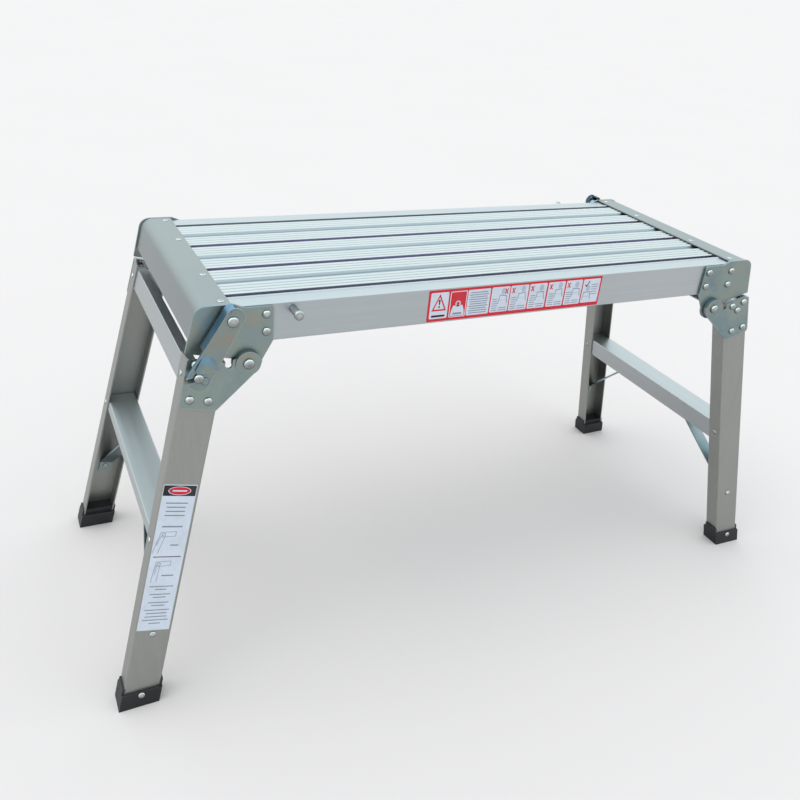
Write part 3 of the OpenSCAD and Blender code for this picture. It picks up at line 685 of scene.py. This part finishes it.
def make_spring(side, name):
    """Helix of round wire about a latch post, on its latch's body."""
    turns, ring_steps, steps = 4.0, 10, 96
    coil, wire = 7.3, 0.72
    centre = Vector((side * POST_X, 0.0, POST_Z))
    points = []
    for i in range(steps + 1):
        t = i / steps
        a = 2 * math.pi * turns * t
        y = side * (SPRING_START + (SPRING_END - SPRING_START) * t)
        points.append(centre + Vector((coil * math.cos(a), y, side * coil * math.sin(a))))
    bm = bmesh.new()
    rings = []
    for i, p in enumerate(points):
        ahead = (points[min(i + 1, steps)] - points[max(i - 1, 0)]).normalized()
        out = (p - Vector((centre.x, p.y, centre.z))).normalized()
        out = (out - ahead * out.dot(ahead)).normalized()
        up = ahead.cross(out)
        rings.append([
            bm.verts.new((p + wire * (out * math.cos(b) + up * math.sin(b))) * MM)
            for b in (2 * math.pi * k / ring_steps for k in range(ring_steps))
        ])
    for a, b in zip(rings, rings[1:]):
        for k in range(ring_steps):
            m = (k + 1) % ring_steps
            bm.faces.new((a[k], a[m], b[m], b[k])).smooth = True
    bm.faces.new(rings[0][::-1])
    bm.faces.new(rings[-1])
    bmesh.ops.recalc_face_normals(bm, faces=bm.faces)
    mesh = bpy.data.meshes.new(name)
    bm.to_mesh(mesh)
    bm.free()
    spring = add_piece(name + "_coil", mesh, BODY_OF[name], material_for(name))
    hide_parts(name)


make_spring(-1, "latch_spring_left")
make_spring(1, "latch_spring_right")


# ---- camera ----

# Focal length and image side in pixels, sensor in millimetres, angles in radians, eye in metres
FOCAL_PX, IMAGE_SIDE, SENSOR = 817.42, 800.0, 36.0
YAW, PITCH, ROLL = -0.4931, 0.5007, -0.105
EYE = Vector((-0.56130, -0.92614, 0.82773))


def make_camera():
    """Camera that stands where the viewer stood, and looks down at the platform from its front left."""
    right = Vector((math.cos(YAW), math.sin(YAW), 0.0))
    look = Vector((
        -math.sin(YAW) * math.cos(PITCH), math.cos(YAW) * math.cos(PITCH), -math.sin(PITCH)
    ))
    down = look.cross(right)
    side = math.cos(ROLL) * right + math.sin(ROLL) * down
    below = -math.sin(ROLL) * right + math.cos(ROLL) * down
    data = bpy.data.cameras.new("camera")
    data.sensor_width = SENSOR
    data.lens = FOCAL_PX * SENSOR / IMAGE_SIDE
    data.clip_start = 0.01
    camera = bpy.data.objects.new("camera", data)
    bpy.context.collection.objects.link(camera)
    turn = Matrix((side, -below, -look)).transposed().to_4x4()
    camera.matrix_world = Matrix.Translation(EYE) @ turn
    bpy.context.scene.camera = camera


make_camera()


# ---- floor and light ----

def make_floor():
    """Plain matt floor that reaches the horizon."""
    size = 1500.0
    mesh = bpy.data.meshes.new("floor")
    corners = [(-size, -size, 0), (size, -size, 0), (size, size, 0), (-size, size, 0)]
    mesh.from_pydata(corners, [], [(0, 1, 2, 3)])
    floor = bpy.data.objects.new("floor", mesh)
    bpy.context.collection.objects.link(floor)
    g = Graph("pale_floor")
    tone = g.noise(1.5, detail=3.0)
    pale = g.ramp(tone, (0.3, (0.566, 0.512, 0.502)), (0.7, (0.572, 0.518, 0.508)))
    g.join(pale, g.shader.inputs["Base Color"])
    g.set(Roughness=1.0, Specular_IOR_Level=0.0)
    mesh.materials.append(g.material)


def make_sun(name, toward, strength, spread):
    """Distant soft light from the direction toward; spread is its width in degrees."""
    data = bpy.data.lights.new(name, "SUN")
    data.energy = strength
    data.angle = math.radians(spread)
    obj = bpy.data.objects.new(name, data)
    obj.rotation_euler = Vector(toward).to_track_quat("Z", "Y").to_euler()
    bpy.context.collection.objects.link(obj)


# Studio dome: height of a band, from 0 at the horizon to 1 overhead, and its light
DOME_STRENGTH = 2.0
DOME = (
    (0.00, (0.87, 0.87, 0.87)), (0.12, (1.00, 1.03, 1.04)), (0.32, (1.38, 1.52, 1.54)),
    (0.65, (1.50, 1.68, 1.72)), (1.00, (1.45, 1.66, 1.76)),
)


def make_world():
    """Studio dome whose light depends only on the height above the horizon."""
    world = bpy.data.worlds.new("studio")
    bpy.context.scene.world = world
    world.use_nodes = True
    tree = world.node_tree
    background = tree.nodes["Background"]
    place = tree.nodes.new("ShaderNodeTexCoord")
    split = tree.nodes.new("ShaderNodeSeparateXYZ")
    ramp = tree.nodes.new("ShaderNodeValToRGB")
    elements = ramp.color_ramp.elements
    while len(elements) < len(DOME):
        elements.new(0.5)
    for element, (at, light) in zip(elements, DOME):
        element.position = at
        element.color = tuple(c / DOME_STRENGTH for c in light) + (1.0,)
    tree.links.new(place.outputs["Generated"], split.inputs[0])
    tree.links.new(split.outputs["Z"], ramp.inputs["Fac"])
    tree.links.new(ramp.outputs["Color"], background.inputs["Color"])
    background.inputs["Strength"].default_value = DOME_STRENGTH


make_floor()
make_world()
make_sun("key", (-0.5, 0.1, 1.0), 0.6, 40.0)

scene = bpy.context.scene
scene.view_settings.view_transform = "Standard"
